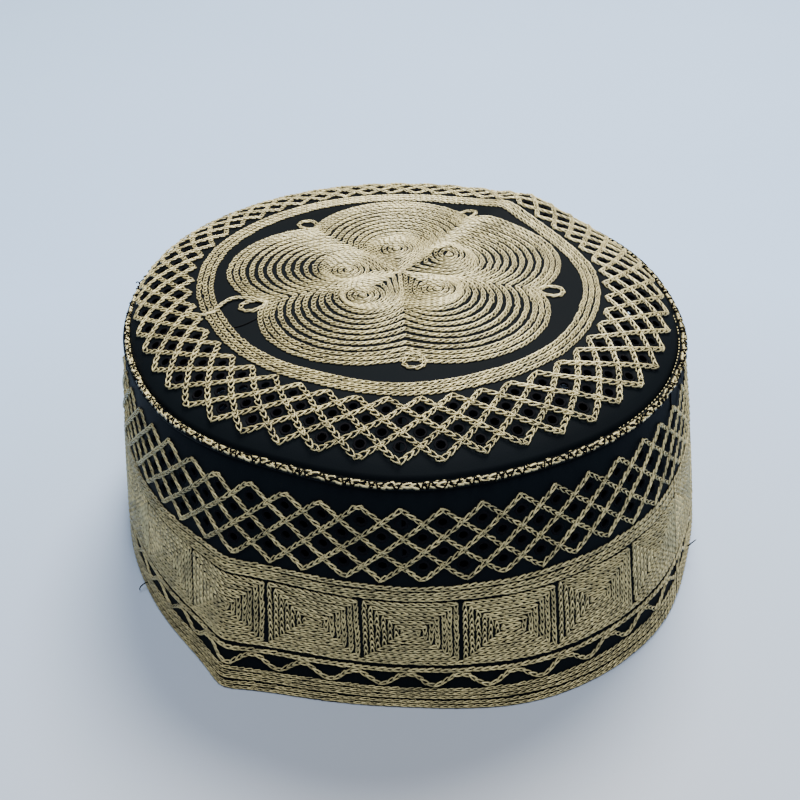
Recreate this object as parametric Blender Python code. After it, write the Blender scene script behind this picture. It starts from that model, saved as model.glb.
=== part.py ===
"""Embroidered prayer cap: a soft round crown sewn to a tall side band.

Metres, +Z up. The cap stands on its rim, with the origin on the surface under the middle of the
rim. Angle 0 is the front of the cap (towards -Y) and angles grow towards +X.
"""
import bisect
import math
from collections import namedtuple

import bmesh
import bpy
from mathutils import Matrix, Vector

MM = 0.001

# Main sizes
SEAM_HEIGHT = 72 * MM
CROWN_RISE = 9.4 * MM
CROWN_POWER = 8.8
CLOTH = 2 * MM
GAP = 0.3 * MM
THREAD_HEIGHT = 1 * MM
PIPING_RADIUS = 1.1 * MM

# Plan outline of the cap, in millimetres, at sixteen even angles
Section = namedtuple("Section", "angle seam_radius rim_radius")
SECTIONS = (
    Section(-180.0, 87.5, 96.0),
    Section(-157.5, 89.0, 98.0),
    Section(-135.0, 89.0, 98.0),
    Section(-112.5, 88.0, 96.0),
    Section(-90.0, 84.5, 91.5),
    Section(-67.5, 82.0, 90.5),
    Section(-45.0, 83.5, 91.5),
    Section(-22.5, 84.5, 90.5),
    Section(0.0, 88.5, 93.5),
    Section(22.5, 88.5, 98.5),
    Section(45.0, 88.5, 98.0),
    Section(67.5, 86.0, 96.5),
    Section(90.0, 84.5, 97.0),
    Section(112.5, 82.0, 94.5),
    Section(135.0, 83.5, 93.5),
    Section(157.5, 86.0, 94.0),
)

# Where the cap was folded flat: a crease in the band and a ridge over the crown
Crease = namedtuple("Crease", "angle half_width out_at_seam out_at_rim")
BAND_CREASES = (Crease(-31.5, 7.0, 0.5, 6.7),)
Ridge = namedtuple("Ridge", "angle half_width height")
CROWN_RIDGES = (Ridge(140.0, 9.0, 3.6),)
RIDGE_FULL_SHARE = 0.7
RIDGE_END_SHARE = 0.85

# Embroidered bands on the side, as heights above the rim
Band = namedtuple("Band", "name low high")
ROW_BANDS = (
    Band("rim_rows", 0.4 * MM, 7.7 * MM),
    Band("lower_rows", 12.4 * MM, 16.5 * MM),
    Band("upper_rows", 36.9 * MM, 43.0 * MM),
)
SQUARE_BAND = Band("square", 16.9 * MM, 36.4 * MM)
SQUARES = 22
SQUARE_START = 8.8
SQUARE_SPACE = 1 * MM

# Pierced eyelets, in the two middle rows of the side lattice
EYELET_RADIUS = 1.3 * MM
EYELETS_ROUND = 55
EYELET_START = -0.35
EyeletRow = namedtuple("EyeletRow", "height half_steps")
EYELET_ROWS = (EyeletRow(56.7 * MM, 1), EyeletRow(52.3 * MM, 0))
EYELET_SIDES = 6

# Crown embroidery, as shares of the seam outline
PETALS = 5
PETAL_ANGLE = 180.0
PETAL_CENTRE = 0.325
PETAL_RADIUS = 0.27
RING_SHARES = (0.645, 0.70, 0.715)
CROWN_SHARES = (0.6, 0.7, 0.85, 0.93)
CROWN_EDGE_INSET = PIPING_RADIUS + GAP

# Fineness of the solids
SQUARE_STEPS = 4
BAND_STEPS = SQUARE_STEPS * SQUARES
CROWN_STEPS = 12 * PETALS
PIPING_SIDES = 8
OUTLINE_STEPS = 720
HALF_STEP = 0.25
FOLD_ROUNDING = 0.2

COLOURS = {
    "cloth": (0.012, 0.013, 0.022, 1.0),
    "thread": (0.72, 0.63, 0.45, 1.0),
    "piping": (0.50, 0.44, 0.33, 1.0),
}
ROUGHNESS = {"cloth": 0.45, "thread": 0.6, "piping": 0.6}


def clear_scene():
    for item in list(bpy.data.objects):
        bpy.data.objects.remove(item, do_unlink=True)


def new_collection(name):
    collection = bpy.data.collections.new(name)
    bpy.context.scene.collection.children.link(collection)
    return collection


def material(name, finish):
    made = bpy.data.materials.new(name)
    made.use_nodes = True
    shader = made.node_tree.nodes["Principled BSDF"]
    shader.inputs["Base Color"].default_value = COLOURS[finish]
    shader.inputs["Roughness"].default_value = ROUGHNESS[finish]
    return made


def round_curve(values, place):
    """Smooth closed curve through evenly spaced values; place counts in steps."""
    step = math.floor(place)
    part = place - step
    before, start, end, after = (values[(step + k) % len(values)] for k in (-1, 0, 1, 2))
    rise = end - before
    bend = 2 * before - 5 * start + 4 * end - after
    twist = 3 * start - before - 3 * end + after
    return start + 0.5 * part * (rise + part * (bend + part * twist))


def fold_profile(offset, half_width):
    """Height of a cloth fold, 1 at its crest, with a slightly rounded top."""
    return math.exp(FOLD_ROUNDING - math.hypot(offset / half_width, FOLD_ROUNDING))


def turn_between(angle, other):
    return (angle - other + 180.0) % 360.0 - 180.0


def outline_radius(angle, height):
    """Radius of the cloth's outer face at an angle in degrees and a height above the rim."""
    place = (angle - SECTIONS[0].angle) / (360.0 / len(SECTIONS))
    up = min(max(height / SEAM_HEIGHT, 0.0), 1.0)
    rim = round_curve([row.rim_radius for row in SECTIONS], place)
    seam = round_curve([row.seam_radius for row in SECTIONS], place)
    radius = rim + (seam - rim) * up
    for crease in BAND_CREASES:
        out = crease.out_at_rim + (crease.out_at_seam - crease.out_at_rim) * up
        radius += out * fold_profile(turn_between(angle, crease.angle), crease.half_width)
    return radius * MM


def polar(radius, angle, height):
    turn = math.radians(angle)
    return Vector((radius * math.sin(turn), -radius * math.cos(turn), height))


def rim_middle():
    """Middle of the box round the rim, which becomes the origin."""
    angles = [360.0 * k / OUTLINE_STEPS for k in range(OUTLINE_STEPS)]
    points = [polar(outline_radius(angle, 0.0), angle, 0.0) for angle in angles]
    middle = [(min(p[axis] for p in points) + max(p[axis] for p in points)) / 2 for axis in (0, 1)]
    return Vector((middle[0], middle[1], 0.0))


class Girth:
    """Evenly spaced turns along the cloth at one height, as true angles from the front."""

    def __init__(self, height):
        self.angles = [360.0 * k / OUTLINE_STEPS - 180.0 for k in range(OUTLINE_STEPS + 1)]
        points = [polar(outline_radius(angle, height), angle, 0.0) for angle in self.angles]
        self.lengths = [0.0]
        for start, end in zip(points, points[1:]):
            self.lengths.append(self.lengths[-1] + (end - start).length)
        self.whole = self.lengths[-1]
        self.front = self.lengths[OUTLINE_STEPS // 2]

    def angle(self, turn):
        """True angle of a turn in degrees that counts evenly along the cloth."""
        length = (self.front + turn / 360.0 * self.whole) % self.whole
        upper = min(max(bisect.bisect(self.lengths, length), 1), OUTLINE_STEPS)
        low, high = self.lengths[upper - 1], self.lengths[upper]
        return self.angles[upper - 1] + (length - low) / (high - low) * 360.0 / OUTLINE_STEPS


ORIGIN = rim_middle()
BAND_GIRTH = Girth(SEAM_HEIGHT / 2)
SEAM_GIRTH = Girth(SEAM_HEIGHT)


def cloth_point(angle, height, out=0.0):
    """Point on the band's outer face, moved level outwards by out."""
    before, after = angle - HALF_STEP, angle + HALF_STEP
    start = polar(outline_radius(before, height), before, 0.0)
    along = (polar(outline_radius(after, height), after, 0.0) - start).normalized()
    outwards = Vector((along.y, -along.x, 0.0))
    return polar(outline_radius(angle, height), angle, height) + outwards * out - ORIGIN


def band_point(turn, height, out=0.0):
    return cloth_point(BAND_GIRTH.angle(turn), height, out)


def seam_point(turn, out=0.0):
    return cloth_point(SEAM_GIRTH.angle(turn), SEAM_HEIGHT, out)


def crown_point(turn, share, up=0.0):
    """Point on the crown at a share of the way from its middle to the seam."""
    angle = SEAM_GIRTH.angle(turn)
    radius = outline_radius(angle, SEAM_HEIGHT)
    height = SEAM_HEIGHT + CROWN_RISE * (1.0 - share ** CROWN_POWER)
    for ridge in CROWN_RIDGES:
        fade_in = min(share / RIDGE_FULL_SHARE, 1.0)
        fade_out = min((1.0 - share) / (1.0 - RIDGE_END_SHARE), 1.0)
        crest = fold_profile(turn_between(angle, ridge.angle), ridge.half_width)
        height += ridge.height * MM * crest * fade_in * fade_out
    return polar(radius * share, angle, height + up) - ORIGIN


def turns(count, start=0.0, whole=360.0):
    return [start + whole * k / count for k in range(count)]


def add_object(name, bm, collection, finish):
    bmesh.ops.recalc_face_normals(bm, faces=bm.faces)
    mesh = bpy.data.meshes.new(name)
    bm.to_mesh(mesh)
    bm.free()
    for face in mesh.polygons:
        face.use_smooth = True
    mesh.set_sharp_from_angle(angle=math.radians(35))
    made = bpy.data.objects.new(name, mesh)
    made.data.materials.append(material(name, finish))
    collection.objects.link(made)
    return made


def loft(rings, round_trip=True, closed_section=True):
    """Skin rings of points. A round trip joins each ring's ends; a closed section joins the
    last ring to the first; rings of one point close the form at a pole. Every quad is split the
    same way, so that two layers of cloth lie parallel over a fold."""
    bm = bmesh.new()
    loops = [[bm.verts.new(point) for point in ring] for ring in rings]
    pairs = list(zip(loops, loops[1:]))
    if closed_section:
        pairs.append((loops[-1], loops[0]))
    for near, far in pairs:
        count = max(len(near), len(far))
        for k in range(count if round_trip else count - 1):
            corners = [near[k % len(near)], near[(k + 1) % len(near)]]
            corners += [far[(k + 1) % len(far)], far[k % len(far)]]
            bm.faces.new(list(dict.fromkeys(corners)))
    if not round_trip:
        for end in (0, -1):
            bm.faces.new([loop[end] for loop in loops])
    bmesh.ops.triangulate(bm, faces=bm.faces, quad_method="FIXED")
    return bm


def side_band(cloth, cutters):
    """Straight walled ring of cloth with two rows of eyelets pierced through it."""
    top = SEAM_HEIGHT - PIPING_RADIUS - GAP
    corners = [(0.0, 0.0), (SQUARE_BAND.low, 0.0), (SQUARE_BAND.high, 0.0), (top, 0.0)]
    corners += [(top, -CLOTH), (0.0, -CLOTH)]
    places = turns(BAND_STEPS, SQUARE_START)
    rings = [[band_point(turn, height, out) for turn in places] for height, out in corners]
    band = add_object("side_band", loft(rings), cloth, "cloth")
    cut = band.modifiers.new("eyelets", "BOOLEAN")
    cut.operation = "DIFFERENCE"
    cut.solver = "EXACT"
    cut.object = eyelet_cutter(cutters)


def eyelet_cutter(cutters):
    """All eyelets of the band in one cutting mesh of short six sided pins."""
    bm = bmesh.new()
    step = 360.0 / EYELETS_ROUND
    for row in EYELET_ROWS:
        for turn in turns(EYELETS_ROUND, EYELET_START + row.half_steps * step / 2):
            inside = band_point(turn, row.height, -2 * CLOTH)
            outside = band_point(turn, row.height, CLOTH)
            facing = (outside - inside).to_track_quat("Z", "Y").to_matrix().to_4x4()
            bmesh.ops.create_cone(
                bm, cap_ends=True, segments=EYELET_SIDES,
                radius1=EYELET_RADIUS, radius2=EYELET_RADIUS, depth=(outside - inside).length,
                matrix=Matrix.Translation((inside + outside) / 2) @ facing)
    cutter = add_object("eyelet_cutter", bm, cutters, "cloth")
    cutter.hide_render = True
    cutter.display_type = "WIRE"
    return cutter


def crown_top(cloth):
    """Domed disc of cloth whose edge turns down on to the top of the side band."""
    places = turns(CROWN_STEPS, PETAL_ANGLE)
    edge_share = 1.0 - CROWN_EDGE_INSET / (SEAM_GIRTH.whole / math.tau)
    shares = CROWN_SHARES + (edge_share,)
    seat = SEAM_HEIGHT - PIPING_RADIUS
    middle_top = crown_point(0.0, 0.0)
    rings = [[middle_top]]
    rings += [[crown_point(turn, share) for turn in places] for share in shares]
    for out in (-CROWN_EDGE_INSET, -CROWN_EDGE_INSET - CLOTH):
        level = [seam_point(turn, out) for turn in places]
        rings.append([Vector((p.x, p.y, seat)) for p in level])
    for share in reversed(CROWN_SHARES):
        rings.append([crown_point(turn, share, -CLOTH) for turn in places])
    rings.append([middle_top - Vector((0.0, 0.0, CLOTH))])
    add_object("crown_top", loft(rings, closed_section=False), cloth, "cloth")


def edge_piping(trim):
    """Cord sewn into the seam between the crown and the band."""
    places = turns(CROWN_STEPS, PETAL_ANGLE)
    rings = []
    for side in turns(PIPING_SIDES, 180.0 / PIPING_SIDES):
        turn = math.radians(side)
        out = PIPING_RADIUS * math.cos(turn)
        up = Vector((0.0, 0.0, PIPING_RADIUS * math.sin(turn)))
        rings.append([seam_point(place, out) + up for place in places])
    add_object("edge_piping", loft(rings), trim, "piping")


def thread_panel(name, low, high, places, round_trip, trim):
    """Raised field of embroidery on the side band between two heights."""
    outer = GAP + THREAD_HEIGHT
    corners = ((low, GAP), (low, outer), (high, outer), (high, GAP))
    rings = [[band_point(turn, height, out) for turn in places] for height, out in corners]
    add_object(name, loft(rings, round_trip), trim, "thread")


def side_rows(trim):
    """The bands of chain rows that run all the way round."""
    for band in ROW_BANDS:
        thread_panel(band.name, band.low, band.high, turns(BAND_STEPS, SQUARE_START), True, trim)


def squares(trim):
    """The squares of concentric chain rounds, each a panel of its own."""
    width = 360.0 / SQUARES
    margin = SQUARE_SPACE / 2 / BAND_GIRTH.whole * 360.0
    inner_steps = [width * k / SQUARE_STEPS for k in range(1, SQUARE_STEPS)]
    for number, start in enumerate(turns(SQUARES, SQUARE_START), 1):
        places = [start + turn for turn in [margin] + inner_steps + [width - margin]]
        name = f"{SQUARE_BAND.name}_{number:02d}"
        thread_panel(name, SQUARE_BAND.low, SQUARE_BAND.high, places, False, trim)


def petal_share(turn):
    """Edge of five round petals that overlap, as a share of the seam outline."""
    width = 360.0 / PETALS
    aside = abs((turn - PETAL_ANGLE + width / 2) % width - width / 2)
    along = PETAL_CENTRE * math.cos(math.radians(aside))
    across = PETAL_CENTRE * math.sin(math.radians(aside))
    return along + math.sqrt(PETAL_RADIUS ** 2 - across ** 2)


def rosette(trim):
    """Five petals of chain rounds in the middle of the crown."""
    places = turns(CROWN_STEPS, PETAL_ANGLE)
    middle = crown_point(0.0, 0.0, GAP)
    edge_low = [crown_point(turn, petal_share(turn), GAP) for turn in places]
    edge_high = [crown_point(turn, petal_share(turn), GAP + THREAD_HEIGHT) for turn in places]
    top = middle + Vector((0.0, 0.0, THREAD_HEIGHT))
    bm = loft([[middle], edge_low, edge_high, [top]], closed_section=False)
    add_object("rosette", bm, trim, "thread")


def rosette_ring(trim):
    """Three chain rows that ring the rosette."""
    places = turns(CROWN_STEPS, PETAL_ANGLE)
    high = GAP + THREAD_HEIGHT
    section = [(share, GAP) for share in RING_SHARES]
    section += [(share, high) for share in reversed(RING_SHARES)]
    rings = [[crown_point(turn, share, up) for turn in places] for share, up in section]
    add_object("rosette_ring", loft(rings), trim, "thread")


clear_scene()
cap = new_collection("prayer_cap")
cutting = new_collection("cutters")
side_band(cap, cutting)
crown_top(cap)
edge_piping(cap)
side_rows(cap)
squares(cap)
rosette(cap)
rosette_ring(cap)
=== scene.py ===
"""Looks of the embroidered prayer cap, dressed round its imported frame. Shapes are worked out in
millimetres on the cap's own surfaces and made into metres as each mesh is written."""
import math

import bmesh
import bpy
import numpy as np
from mathutils import Matrix, Vector


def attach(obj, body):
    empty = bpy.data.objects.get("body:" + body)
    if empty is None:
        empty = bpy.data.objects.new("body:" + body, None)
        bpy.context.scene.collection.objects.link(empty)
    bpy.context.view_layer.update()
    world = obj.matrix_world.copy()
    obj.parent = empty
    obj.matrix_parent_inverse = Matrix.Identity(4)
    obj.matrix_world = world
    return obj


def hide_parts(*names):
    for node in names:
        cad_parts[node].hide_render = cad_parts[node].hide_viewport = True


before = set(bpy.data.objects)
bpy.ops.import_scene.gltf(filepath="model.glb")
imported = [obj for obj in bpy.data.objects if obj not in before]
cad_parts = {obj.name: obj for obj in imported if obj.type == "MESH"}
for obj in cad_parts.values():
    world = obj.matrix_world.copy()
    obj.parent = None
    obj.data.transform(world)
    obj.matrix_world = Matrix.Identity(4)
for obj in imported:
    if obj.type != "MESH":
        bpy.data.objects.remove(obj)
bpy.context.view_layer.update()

# Side band
# A tall strip of black satin cloth, stiffened and joined into a ring by one seam at the back right.
# It was once folded flat, which left a crease at its front left, and its upper half is punched
# with four rows of eyelets.
MM = 0.001
BODY = "root"
SEAM_HEIGHT = 72.0
CLOTH = 2.0
PIPING_RADIUS = 1.1
FOLD_ROUNDING = 0.2
SEAM_RADII = np.array([87.5, 89, 89, 88, 84.5, 82, 83.5, 84.5, 88.5, 88.5, 88.5, 86, 84.5, 82, 83.5, 86])
RIM_RADII = np.array([96, 98, 98, 96, 91.5, 90.5, 91.5, 90.5, 93.5, 98.5, 98, 96.5, 97, 94.5, 93.5, 94])
SEAM_TUCKS = np.array([1.5, 1.8, 1.8, 4.0, 3.0, 0.6, 0, 0, 0, 0, 0, 0.2, 2.4, 0.6, 1.5, 1.5])
RIM_FLARES = np.array([0, 0, 0, 0, 0, -0.5, 0, 2.0, 0, 0.7, 1.5, -1.2, -1.0, 0, 0, 0])
CREASE_ANGLE, CREASE_WIDTH, CREASE_AT_SEAM, CREASE_AT_RIM = -31.5, 7.0, 0.5, 6.7
SQUARES = 22
SQUARE_START = 8.8
LATTICE_CELLS = 55
LATTICE_START = -0.35
LATTICE_LEVELS = 5
LATTICE_TOP, LATTICE_FOOT = 65.5, 43.5
EYELET_RADIUS = 1.2
LEVELS_UNDER_LATTICE = (0.0, 4.0, 8.0, 12.4, 16.9, 23.0, 30.0, 36.4, 40.0)
LEVEL_OVER_LATTICE = 68.0
MERGE_DISTANCE = 0.01


def round_curve(values, place):
    step = np.floor(place).astype(int)
    part = place - step
    before, start, end, after = (values[(step + k) % len(values)] for k in (-1, 0, 1, 2))
    bend = 2 * before - 5 * start + 4 * end - after
    twist = 3 * start - before - 3 * end + after
    return start + 0.5 * part * (end - before + part * (bend + part * twist))


def turn_between(angle, other):
    return (angle - other + 180.0) % 360.0 - 180.0


def fold_profile(offset, half_width, rounding=FOLD_ROUNDING):
    return np.exp(rounding - np.hypot(offset / half_width, rounding))


def outline_radius(angle, height):
    """Radius of the cloth's outer face at an angle in degrees and a height above the rim."""
    place = (angle + 180.0) / (360.0 / len(RIM_RADII))
    up = np.clip(height / SEAM_HEIGHT, 0.0, 1.0)
    rim = round_curve(RIM_RADII, place)
    radius = rim + (round_curve(SEAM_RADII, place) - rim) * up
    out = CREASE_AT_RIM + (CREASE_AT_SEAM - CREASE_AT_RIM) * up
    return radius + out * fold_profile(turn_between(angle, CREASE_ANGLE), CREASE_WIDTH)


def seam_tuck(angle):
    """How far the seam is drawn in from the frame's outline, where the cap has slumped."""
    return round_curve(SEAM_TUCKS, (angle + 180.0) / (360.0 / len(SEAM_TUCKS)))


def draped_radius(angle, height):
    """The outline's radius with the seam drawn in and the rim spread a little, as the cap lies."""
    up = np.clip(height / SEAM_HEIGHT, 0.0, 1.0)
    flare = round_curve(RIM_FLARES, (angle + 180.0) / (360.0 / len(RIM_FLARES)))
    return outline_radius(angle, height) - seam_tuck(angle) * up ** 3 + flare * (1.0 - up) ** 2


def plan_place(radius, angle):
    turn = np.radians(angle)
    return radius * np.sin(turn), -radius * np.cos(turn)


class Girth:
    """Turns that count evenly along the cloth at one height, matched to true angles."""

    def __init__(self, height):
        self.angles = np.linspace(-180.0, 180.0, 1441)
        x, y = plan_place(outline_radius(self.angles, height), self.angles)
        lengths = np.concatenate([[0.0], np.cumsum(np.hypot(np.diff(x), np.diff(y)))])
        self.whole = lengths[-1]
        self.turns = (lengths - np.interp(0.0, self.angles, lengths)) / self.whole * 360.0

    def angle(self, turn):
        first = self.turns[0]
        return np.interp((np.asarray(turn, float) - first) % 360.0 + first, self.turns, self.angles)


band_girth = Girth(SEAM_HEIGHT / 2)
seam_girth = Girth(SEAM_HEIGHT)
rim_x, rim_y = plan_place(outline_radius(seam_girth.angles, 0.0), seam_girth.angles)
ORIGIN_X = (rim_x.min() + rim_x.max()) / 2
ORIGIN_Y = (rim_y.min() + rim_y.max()) / 2


def band(turn, height):
    """Points on the band's outer face."""
    angle = band_girth.angle(turn)
    x, y = plan_place(draped_radius(angle, height), angle)
    return np.stack([x - ORIGIN_X, y - ORIGIN_Y, height + 0.0 * x], -1)


def lifted(surface, u, v, lift=0.0):
    """Points held off a surface, and the surface's outward normals there."""
    u, v = np.broadcast_arrays(np.asarray(u, float), np.asarray(v, float))
    across = surface(u + 0.05, v) - surface(u - 0.05, v)
    along = surface(u, v + 0.05) - surface(u, v - 0.05)
    normal = np.cross(across, along)
    normal /= np.linalg.norm(normal, axis=-1, keepdims=True)
    return surface(u, v) + normal * np.asarray(lift)[..., None], normal


def new_piece(name, mesh, material, slot, *nodes):
    """Put a finished mesh on the cap as a piece that rides with it."""
    for face in mesh.polygons:
        face.use_smooth = True
    mesh.materials.append(material)
    piece = bpy.data.objects.new(name, mesh)
    bpy.context.scene.collection.objects.link(piece)
    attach(piece, BODY)
    if nodes:
        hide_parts(*nodes)
    return piece


def finished_mesh(bm, name):
    mesh = bpy.data.meshes.new(name)
    bm.to_mesh(mesh)
    bm.free()
    return mesh


def node_group(name, inputs, outputs):
    """Empty shader node group with value inputs and outputs."""
    group = bpy.data.node_groups.new(name, "ShaderNodeTree")
    for label, value in inputs.items():
        socket = group.interface.new_socket(label, in_out="INPUT", socket_type="NodeSocketFloat")
        socket.default_value = value
    for label in outputs:
        group.interface.new_socket(label, in_out="OUTPUT", socket_type="NodeSocketFloat")
    nodes = group.nodes
    return group, nodes.new("NodeGroupInput"), nodes.new("NodeGroupOutput"), nodes, group.links.new


def cloth_weave_group():
    """Fine satin weave: long warp floats crossed by weft, with soft uneven patches."""
    group, start, end, nodes, join = node_group(
        "satin_weave", {"Threads": 2400.0, "Patches": 45.0}, ["Height", "Patch"])
    place = nodes.new("ShaderNodeTexCoord")
    stretch = nodes.new("ShaderNodeMapping")
    stretch.inputs["Scale"].default_value = (1.0, 1.0, 0.22)
    floats = nodes.new("ShaderNodeTexNoise")
    floats.inputs["Detail"].default_value = 2.0
    patches = nodes.new("ShaderNodeTexNoise")
    patches.inputs["Detail"].default_value = 3.0
    join(place.outputs["Object"], stretch.inputs["Vector"])
    join(stretch.outputs["Vector"], floats.inputs["Vector"])
    join(start.outputs["Threads"], floats.inputs["Scale"])
    join(place.outputs["Object"], patches.inputs["Vector"])
    join(start.outputs["Patches"], patches.inputs["Scale"])
    join(floats.outputs["Fac"], end.inputs["Height"])
    join(patches.outputs["Fac"], end.inputs["Patch"])
    return group


def new_material(name, roughness):
    material = bpy.data.materials.new(name)
    material.use_nodes = True
    nodes = material.node_tree.nodes
    shader = nodes["Principled BSDF"]
    shader.inputs["Roughness"].default_value = roughness
    return material, shader, nodes, material.node_tree.links.new


def colour_mix(nodes, join, factor, dark, light):
    mix = nodes.new("ShaderNodeMix")
    mix.data_type = "RGBA"
    mix.inputs["A"].default_value = (*dark, 1.0)
    mix.inputs["B"].default_value = (*light, 1.0)
    join(factor, mix.inputs["Factor"])
    return mix.outputs["Result"]


def satin_cloth():
    material, shader, nodes, join = new_material("black_satin", 0.65)
    shader.inputs["Specular IOR Level"].default_value = 0.03
    weave = nodes.new("ShaderNodeGroup")
    weave.node_tree = cloth_weave_group()
    bump = nodes.new("ShaderNodeBump")
    bump.inputs["Strength"].default_value = 0.35
    bump.inputs["Distance"].default_value = 0.0001
    rough = nodes.new("ShaderNodeMapRange")
    rough.inputs["To Min"].default_value = 0.55
    rough.inputs["To Max"].default_value = 0.75
    colour = colour_mix(nodes, join, weave.outputs["Patch"],
                        dark=(0.0018, 0.0029, 0.0041), light=(0.0034, 0.0054, 0.0074))
    join(colour, shader.inputs["Base Color"])
    join(weave.outputs["Patch"], rough.inputs["Value"])
    join(rough.outputs["Result"], shader.inputs["Roughness"])
    join(weave.outputs["Height"], bump.inputs["Height"])
    join(bump.outputs["Normal"], shader.inputs["Normal"])
    return material


def cloth_chart(columns, levels, width):
    """Flat grid of cloth, width mm round and with a row of corners at each level."""
    bm = bmesh.new()
    bmesh.ops.create_grid(bm, x_segments=columns, y_segments=len(levels) - 1, size=0.5)
    for corner in bm.verts:
        column = round((corner.co.x + 0.5) * columns)
        row = round((corner.co.y + 0.5) * (len(levels) - 1))
        corner.co = (column * width / columns, levels[row], 0.0)
    return bm


def pierce(bm, centres, radius):
    """Open a round eyelet at each of the grid's corners that is a centre."""
    grid = {(round(v.co.x, 3), round(v.co.y, 3)): v for v in bm.verts}
    marks = [(round(x, 3), round(y, 3)) for x, y in centres]
    corners = [grid[mark] for mark in marks if mark in grid]
    made = bmesh.ops.bevel(
        bm, geom=corners, offset=radius, offset_type="OFFSET", segments=2, profile=0.5,
        affect="VERTICES", material=-1)
    bmesh.ops.delete(bm, geom=made["faces"], context="FACES")
    places = np.array(centres)
    for edge in [e for e in bm.edges if e.is_boundary]:
        for corner in edge.verts:
            away = places - np.array([corner.co.x, corner.co.y])
            nearest = np.hypot(away[:, 0], away[:, 1]).argmin()
            gap = np.hypot(*away[nearest])
            if gap < 1.5 * radius:
                middle = Vector((*places[nearest], 0.0))
                corner.co = middle + (corner.co - middle) * (radius / gap)


def wrap_cloth(bm, place, name):
    """Bend a flat chart on to the cap and close it into a ring."""
    flat = np.array([v.co[:] for v in bm.verts])
    points = place(flat[:, 0], flat[:, 1])
    for corner, point in zip(bm.verts, points):
        corner.co = point * MM
    bmesh.ops.remove_doubles(bm, verts=bm.verts, dist=MERGE_DISTANCE * MM)
    bmesh.ops.recalc_face_normals(bm, faces=bm.faces)
    return finished_mesh(bm, name)


def give_thickness(piece):
    """Thicken a sheet inwards from its outer face."""
    wall = piece.modifiers.new("wall", "SOLIDIFY")
    wall.thickness = CLOTH * MM
    wall.offset = -1.0
    wall.use_even_offset = True
    wall.thickness_clamp = 1.0


def lattice_centres(cells, width, top, foot):
    """Middles of the diamonds between the lattice's crossing chains, on a flat chart."""
    step = width / cells / 2
    rise = (foot - top) / LATTICE_LEVELS
    return [((2 * cell + level + 1) * step % width, top + level * rise)
            for level in range(1, LATTICE_LEVELS) for cell in range(cells)]


def chart_turn(x):
    """Turn of a place on the band's flat chart."""
    return LATTICE_START + x / band_girth.whole * 360.0


def band_from_chart(x, y):
    return band(chart_turn(x), y)


black_satin = satin_cloth()
band_top = SEAM_HEIGHT - PIPING_RADIUS / 2
lattice_levels = np.linspace(LATTICE_FOOT, LATTICE_TOP, LATTICE_LEVELS + 1)
band_levels = [*LEVELS_UNDER_LATTICE, *lattice_levels, LEVEL_OVER_LATTICE, band_top]
chart = cloth_chart(2 * LATTICE_CELLS, band_levels, band_girth.whole)
band_eyelets = lattice_centres(LATTICE_CELLS, band_girth.whole, LATTICE_TOP, LATTICE_FOOT)
pierce(chart, band_eyelets, EYELET_RADIUS)
bmesh.ops.subdivide_edges(chart, edges=chart.edges, cuts=1, use_grid_fill=True)
side_band = new_piece("side_band_cloth", wrap_cloth(chart, band_from_chart, "side_band_cloth"),
                      black_satin, "cloth", "side_band")
give_thickness(side_band)

# Crown
# A disc of the same satin, drawn flat over the top of the head and turned down inside the band.
# The fold across the cap left a ridge from its middle to the back right. Four rows of eyelets
# run round its edge.
CROWN_RISE = 9.4
CROWN_POWER = 8.8
RIDGE_ANGLE, RIDGE_WIDTH, RIDGE_HEIGHT = 140.0, 9.0, 3.6
RIDGE_ROUNDING = 0.45
RIDGE_FULL_SHARE, RIDGE_END_SHARE = 0.7, 0.85
CROWN_CELLS = 49
CROWN_START = -0.5
CROWN_SKEW = 1.3
CROWN_LATTICE_OUT, CROWN_LATTICE_IN = 0.947, 0.728
TUCK_START, TUCK_POWER = 0.88, 1.5
TUCK_TRIES = 16
SHARES_IN_LATTICE = (0.0, 0.1, 0.2, 0.3, 0.4, 0.5, 0.58, 0.65)
SHARE_OUT_OF_LATTICE = 0.965
GAP = 0.3
SKIRT_FOOT = 68.6


def tucked_in(share):
    """How much of the seam's tuck is felt at a share of the way out to it."""
    return np.clip((share - TUCK_START) / (1.0 - TUCK_START), 0.0, 1.0) ** TUCK_POWER


def crown(x, y):
    """Points on the crown's outer face over a place in plan."""
    angle = np.degrees(np.arctan2(x, -y))
    away, reach, tuck = np.hypot(x, y), outline_radius(angle, SEAM_HEIGHT), seam_tuck(angle)
    share = away / reach
    for _ in range(TUCK_TRIES):
        share = np.clip((away + tuck * tucked_in(share)) / reach, 0.0, 1.0)
    fade = np.minimum(share / RIDGE_FULL_SHARE, 1.0)
    fade = fade * np.minimum((1.0 - share) / (1.0 - RIDGE_END_SHARE), 1.0)
    ridge = RIDGE_HEIGHT * fold_profile(turn_between(angle, RIDGE_ANGLE), RIDGE_WIDTH, RIDGE_ROUNDING)
    height = SEAM_HEIGHT + CROWN_RISE * (1.0 - share ** CROWN_POWER) + ridge * fade
    return np.stack([x - ORIGIN_X, y - ORIGIN_Y, height], -1)


def crown_place(turn, share):
    """Place in plan at a turn and a share of the way out to the seam."""
    angle = seam_girth.angle(turn)
    radius = outline_radius(angle, SEAM_HEIGHT) * share - seam_tuck(angle) * tucked_in(share)
    return plan_place(radius, angle)


def lattice_turn(turn, share):
    """The crown's lattice leans a little, so its inner tips sit further round."""
    inward = (CROWN_LATTICE_OUT - share) / (CROWN_LATTICE_OUT - CROWN_LATTICE_IN)
    return turn + CROWN_SKEW * np.clip(inward, 0.0, 1.0)


def chart_place(x, y):
    """Place in plan of a place on the crown's flat chart."""
    turn = lattice_turn(CROWN_START + x / crown_width * 360.0, y / crown_radius)
    return crown_place(turn, y / crown_radius)


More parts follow.
